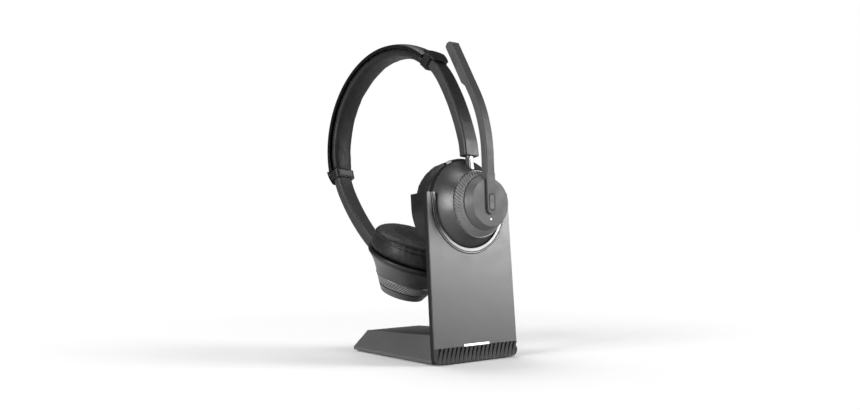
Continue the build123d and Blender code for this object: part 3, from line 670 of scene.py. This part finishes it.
def knurled(name, place, body, stands_for):
    """Cone with slanted ridges between two plain edges; the valleys get near-black painted shade."""
    narrow, wide = ring_radii
    levels = 12
    front = [(ring_bore, ring_front), (narrow - 0.5, ring_front), (narrow - 0.1, ring_front + 0.25)]
    slope = []
    for i in range(levels + 1):
        share = i / levels
        slope.append((narrow + (wide - narrow) * share, slope_start + slope_length * share))
    back = [(wide - 0.1, ring_back - 0.15), (wide - 0.6, ring_back), (ring_bore, ring_back)]

    def swell(angle, index):
        level = index - len(front)
        if not 0 <= level <= levels:
            return 0.0
        fade = min(1.0, level, levels - level)
        return -knurl_depth * fade * (0.5 - 0.5 * knurl_wave(angle, level / levels))

    piece = lathe(name, front + slope + back, steps=knurls * 6, swell=swell, smooth_angle=50.0)
    for face in piece.data.polygons:
        x, y, z = face.center
        share = (z - slope_start) / slope_length
        on_slope = 0.04 < share < 0.96 and math.hypot(x, y) > ring_bore + 2.0
        in_valley = knurl_wave(math.atan2(y, x), share) < -0.2
        # Faces in the slope's valleys get the painted shade material, slot 1.
        face.material_index = 1 if on_slope and in_valley else 0
    settle(piece, place, body, "ring_plastic")
    piece.data.materials.append(painted_shade_black)
    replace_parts(piece, stands_for)


def edge_bead(name, place, body):
    """Thin bead of lighter satin round the bell, behind the knurled ring: a painted highlight that stands for the
    lit rear edge of the ring.
    """
    outline = [(24.0, 12.86), (24.55, 12.86), (24.7, 13.0), (24.7, 13.3), (24.0, 13.3)]
    settle(lathe(name, outline), place, body, "trim_satin")


def notch_path(radius):
    """(x, z, direction outwards) down one wall, round the curve and up the other wall."""
    tilt = math.atan2(notch_flare, notch_top)
    wall = (radius + notch_flare, notch_top)
    path = [(-wall[0], wall[1], math.pi - tilt)]
    for i in range(49):
        turn = math.pi * (1 + i / 48)
        path.append((radius * math.cos(turn), radius * math.sin(turn), turn))
    return path + [(wall[0], wall[1], tilt)]


def cradle_line(name, radius, half_width, proud, slot):
    """Raised line that follows the cradle's U shape on the front of its lip."""
    path = notch_path(radius)

    def ring(i):
        x, z, turn = path[i]
        out = Vector((math.cos(turn), 0, math.sin(turn)))
        middle = Vector((x, 0, z))
        shoulder = -0.6 * proud
        section = [(-1, 0), (-1, shoulder), (-0.5, -proud), (0.5, -proud), (1, shoulder), (1, 0)]
        return [middle + out * (side * half_width) + Vector((0, y - 0.18, 0)) for side, y in section]

    points, faces = ring_of(ring, len(path), caps=True)
    settle(mesh_object(name, points, faces, 40.0), notch, "dock", slot)


# ---------------------------------------------------------------- headband
def on_band(angle, y, radius):
    """Point of the band from its angle about the crown in degrees, width and radius."""
    turn = math.radians(angle)
    return Vector((radius * math.sin(turn), y, radius * math.cos(turn)))


def pad_section(pinch):
    """Closed (y, radius) outline of the pad; pinch 1 draws it in at the collars."""
    half = pad_half - 1.0 * pinch
    crown = pad_crown + 0.8 * pinch
    side = [(half, pad_top), (half, pad_ledge)]
    middle = pad_ledge - 1.8
    lower = arc((0.0, middle), (half, middle - crown), 0, -180, 14)
    return side + lower + [(-half, pad_ledge), (-half, pad_top)]


def band_pad():
    """Long leatherette pillow under the shell, with a fold running in to each collar."""
    rings = 61

    def ring(i):
        angle = -pad_end + 0.3 + (2 * pad_end - 0.6) * i / (rings - 1)
        pinch = max(0.0, (abs(angle) - pad_end + 9.0) / 9.0) ** 2
        return [on_band(angle, y, radius) for y, radius in pad_section(pinch)]

    points, faces = ring_of(ring, rings, caps=True)
    piece = mesh_object("headband_pad", points, faces, 180.0)
    puff(piece, 4.0, 4.0, 1.4, lambda p: math.hypot(p.x, p.z) > pad_ledge)
    subdivide(piece, 1)
    shape_pad(piece)
    hollow_pad(piece)
    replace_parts(settle(piece, band, "headband", "band_leatherette"), "headband_cushion")


def shape_pad(piece):
    """Keep the pad in its room and press the folds in near the collars."""
    for vertex in piece.data.vertices:
        radius = math.hypot(vertex.co.x, vertex.co.z)
        angle = math.degrees(math.atan2(vertex.co.x, vertex.co.z))
        y = max(-pad_edge, min(pad_edge, vertex.co.y))
        near = max(0.0, (abs(angle) - pad_end + 24.0) / 24.0)
        fold_y = math.copysign(1.0, angle) * (11.0 - 15.0 * near)
        depth = 1.3 * bell_curve(y - fold_y, 1.7) * min(1.0, near * 1.6) if near > 0 else 0.0
        depth *= min(1.0, max(0.3, (abs(y) - 4.0) / 4.0))
        soft = noise.noise(Vector((angle * 0.08, y * 0.12, 7.0))) * 0.35
        if radius < pad_ledge - 0.5:
            radius += depth + soft
            if abs(y) < spring_half:
                radius = min(radius, spring_low)
        radius = max(pad_floor, min(pad_top + 0.2, radius))
        vertex.co = on_band(angle, y, radius)


def hollow_pad(piece):
    """Leave a thin cover, open under the shell where the arms slide."""
    made = bmesh.new()
    made.from_mesh(piece.data)
    hidden = []
    for face in made.faces:
        centre = face.calc_center_median()
        outwards = Vector((centre.x, 0, centre.z)).normalized()
        along = Vector((outwards.z, 0, -outwards.x))
        angle = abs(math.degrees(math.atan2(centre.x, centre.z)))
        on_top = math.hypot(centre.x, centre.z) > pad_ledge + 0.8 and face.normal.dot(outwards) > 0.5
        at_end = angle > pad_end - 1.5 and abs(face.normal.dot(along)) > 0.8
        if on_top or at_end:
            hidden.append(face)
    bmesh.ops.delete(made, geom=hidden, context="FACES")
    made.to_mesh(piece.data)
    made.free()
    modifier = piece.modifiers.new("thickness", "SOLIDIFY")
    modifier.thickness = 0.3
    modifier.offset = -1.0
    apply_all(piece)


def hood_section(share, lift, thickness, width):
    """Closed (y, radius) outline across the hood; share runs from the band to the tip."""
    half = width * (1.0 - 0.28 * share ** 2)
    base = collar_top + lift
    top = base + thickness * (1.0 - 0.75 * share)
    upper = [(half * t, top - 0.9 * t * t) for t in (1.0, 0.6, 0.2, -0.2, -0.6, -1.0)]
    return [(half, base - 0.9)] + upper + [(-half, base - 0.9), (0.0, base - 0.3)]


def collar_hood(name, side, slot, lift, thickness, width, reach):
    """Tapering plate over a collar, from the shell's end towards its tip."""
    rings = 14
    start = pad_end - 0.6
    end = pad_end + reach

    def ring(i):
        share = i / (rings - 1)
        angle = side * (start + (end - start) * share)
        outline = hood_section(share, lift, thickness, width)
        return [on_band(angle, side * y, radius) for y, radius in outline]

    points, faces = ring_of(ring, rings, caps=True)
    piece = mesh_object(name, points, faces, 40.0)
    settle(piece, band, "headband", slot)


# ---------------------------------------------------------------- floor, light and camera
def stage_floor():
    """Matt white ground near the object that fades, for the camera only, into an evenly bright one."""
    piece = mesh_object("floor", [(-4, -4, 0), (4, -4, 0), (4, 4, 0), (-4, 4, 0)], [(0, 1, 2, 3)])
    piece.location.z = -0.0003
    made, tree, shader = material("floor_white")
    cloud = noise_node(tree, 3.0)
    matt = mix_colour(tree, cloud, grey(0.86) + (1.0,), grey(0.88) + (1.0,))
    tree.links.new(matt, shader.inputs["Base Color"])
    shader.inputs["Roughness"].default_value = 0.9
    shader.inputs["Specular IOR Level"].default_value = 0.1
    bright = add(tree, "ShaderNodeEmission", Strength=1.02)
    place = tree.nodes.new("ShaderNodeTexCoord")
    reach = tree.nodes.new("ShaderNodeVectorMath")
    reach.operation = "LENGTH"
    tree.links.new(place.outputs["Object"], reach.inputs[0])
    far = spread(tree, reach.outputs["Value"], 0.0, 1.0, 0.16, 0.42)
    path = tree.nodes.new("ShaderNodeLightPath")
    seen = tree.nodes.new("ShaderNodeMath")
    seen.operation = "MULTIPLY"
    tree.links.new(far, seen.inputs[0])
    tree.links.new(path.outputs["Is Camera Ray"], seen.inputs[1])
    mix = tree.nodes.new("ShaderNodeMixShader")
    tree.links.new(seen.outputs[0], mix.inputs[0])
    tree.links.new(shader.outputs[0], mix.inputs[1])
    tree.links.new(bright.outputs[0], mix.inputs[2])
    tree.links.new(mix.outputs[0], tree.nodes["Material Output"].inputs["Surface"])
    piece.data.materials.append(made)


def world_light(ambient, backdrop):
    """Pale backdrop for the camera, dimmer surroundings for everything else."""
    world = bpy.data.worlds.new("studio")
    bpy.context.scene.world = world
    world.use_nodes = True
    tree = world.node_tree
    plain = tree.nodes["Background"]
    plain.inputs["Color"].default_value = (1, 1, 1, 1)
    plain.inputs["Strength"].default_value = ambient
    seen = add(tree, "ShaderNodeBackground", Strength=backdrop)
    seen.inputs["Color"].default_value = (1, 1, 1, 1)
    path = tree.nodes.new("ShaderNodeLightPath")
    mix = tree.nodes.new("ShaderNodeMixShader")
    tree.links.new(path.outputs["Is Camera Ray"], mix.inputs[0])
    tree.links.new(plain.outputs[0], mix.inputs[1])
    tree.links.new(seen.outputs[0], mix.inputs[2])
    tree.links.new(mix.outputs[0], tree.nodes["World Output"].inputs["Surface"])


def softbox(name, place, size, power):
    """Rectangular light that faces the middle of the object."""
    light = bpy.data.lights.new(name, "AREA")
    light.shape = "RECTANGLE"
    light.size, light.size_y = size
    light.energy = power
    piece = bpy.data.objects.new(name, light)
    bpy.context.scene.collection.objects.link(piece)
    piece.location = place
    aim = (cad_low + cad_high) / 2
    piece.rotation_euler = (aim - Vector(place)).to_track_quat("-Z", "Y").to_euler()


def lights():
    world_light(0.07, 1.0)
    softbox("light_left", (-1.3, -0.05, 0.15), (0.45, 1.5), 40)
    softbox("light_right", (1.1, -1.0, 0.6), (0.6, 0.8), 22)
    softbox("light_top", (0.1, 0.5, 1.4), (1.0, 0.8), 12)


def camera():
    """Front-left and level with the upper part of the stand."""
    data = bpy.data.cameras.new("camera")
    data.sensor_width = 36.0
    data.lens = 39.77
    piece = bpy.data.objects.new("camera", data)
    bpy.context.scene.collection.objects.link(piece)
    piece.location = (-0.4628, -0.5698, 0.1055)
    piece.rotation_euler = (math.radians(90.7), 0.0, math.radians(-38.8))
    bpy.context.scene.camera = piece


# ---------------------------------------------------------------- build
dress_nodes()
cups = (("right", right_cup, "volume_ring", "volume_ring"), ("left", left_cup, "cup_left", "trim_ring_left"))
for word, place, ring_body, ring_node in cups:
    ear_cushion("ear_pad_" + word, place, "cup_" + word, "ear_cushion_" + word)
for word, place, ring_body, ring_node in cups:
    knurled("knurled_ring_" + word, place, ring_body, ring_node)
for word, place, ring_body, ring_node in cups:
    edge_bead("bell_bead_" + word, place, "cup_" + word)
cradle_line("cradle_line", 34.35, 0.32, 0.35, "trim_satin")
band_pad()
for side, word in ((-1, "right"), (1, "left")):
    collar_hood("collar_hood_" + word, side, "band_plastic", 0.45, 1.5, 10.4, 8.0)
    # The satin strip under each hood is a painted highlight: its lighter edge stands for the collar's lit end
    # face.
    collar_hood("collar_strip_" + word, side, "trim_satin", 0.0, 0.45, 9.6, 7.2)
stage_floor()
lights()
camera()
bpy.context.scene.view_settings.view_transform = "Standard"
